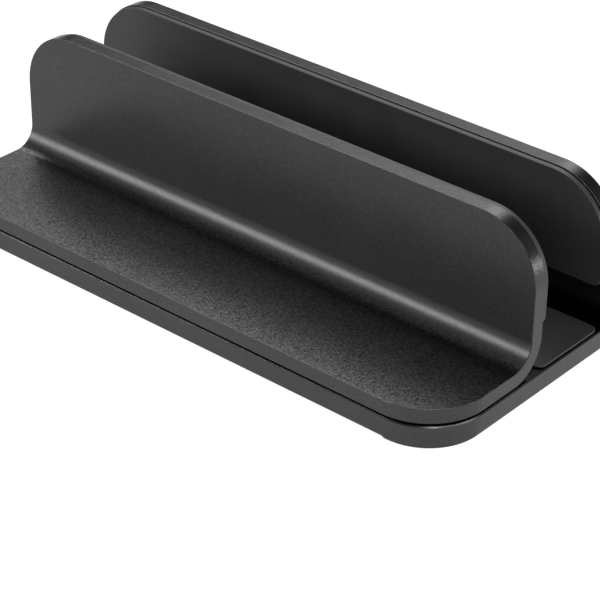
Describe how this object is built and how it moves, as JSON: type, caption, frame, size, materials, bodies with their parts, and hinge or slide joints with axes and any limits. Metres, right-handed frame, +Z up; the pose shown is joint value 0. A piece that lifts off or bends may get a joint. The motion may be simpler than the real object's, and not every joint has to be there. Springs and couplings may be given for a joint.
{
  "type": "vertical laptop stand",
  "caption": "Upright laptop dock: a flat base plate and two L-shaped wings that slide apart, with silicone pads where the laptop rests.",
  "frame": {"origin": "on the floor, under the middle of the stand", "axes": "+X along the laptop slot, +Y from the front wing to the rear wing, +Z up"},
  "size_m": [0.1706, 0.1042, 0.0469],
  "materials": {
    "anodised_metal": "fine sand-blasted and black anodised",
    "silicone": "matte black silicone",
    "blackened_steel": "black oxide",
    "zinc_steel": "zinc plated"
  },
  "bodies": {
    "base": {"base_plate": "anodised_metal", "floor_pad": "silicone", "left_foot_strip": "silicone", "right_foot_strip": "silicone"},
    "front_wing": {"front_wing": "anodised_metal", "front_wing_pad": "silicone", "front_left_insert": "zinc_steel", "front_right_insert": "zinc_steel", "front_left_washer": "blackened_steel", "front_right_washer": "blackened_steel"},
    "rear_wing": {"rear_wing": "anodised_metal", "rear_wing_pad": "silicone", "rear_left_insert": "zinc_steel", "rear_right_insert": "zinc_steel", "rear_left_washer": "blackened_steel", "rear_right_washer": "blackened_steel"},
    "front_left_screw": {"front_left_screw": "blackened_steel"},
    "front_right_screw": {"front_right_screw": "blackened_steel"},
    "rear_left_screw": {"rear_left_screw": "blackened_steel"},
    "rear_right_screw": {"rear_right_screw": "blackened_steel"}
  },
  "joints": [
    {"name": "front_wing_slide", "type": "slide", "parent": "base", "child": "front_wing", "axis": [0, -1, 0], "range_m": [-0.00425, 0.00975]},
    {"name": "rear_wing_slide", "type": "slide", "parent": "base", "child": "rear_wing", "axis": [0, 1, 0], "range_m": [-0.00425, 0.00975]},
    {"name": "front_left_screw_turn", "type": "hinge", "parent": "front_wing", "child": "front_left_screw", "pos_m": [-0.055, -0.03505, 0.0036], "axis": [0, 0, 1], "range_deg": [-360, 0]},
    {"name": "front_right_screw_turn", "type": "hinge", "parent": "front_wing", "child": "front_right_screw", "pos_m": [0.055, -0.03505, 0.0036], "axis": [0, 0, 1], "range_deg": [-360, 0]},
    {"name": "rear_left_screw_turn", "type": "hinge", "parent": "rear_wing", "child": "rear_left_screw", "pos_m": [-0.055, 0.03505, 0.0036], "axis": [0, 0, 1], "range_deg": [-360, 0]},
    {"name": "rear_right_screw_turn", "type": "hinge", "parent": "rear_wing", "child": "rear_right_screw", "pos_m": [0.055, 0.03505, 0.0036], "axis": [0, 0, 1], "range_deg": [-360, 0]}
  ]
}
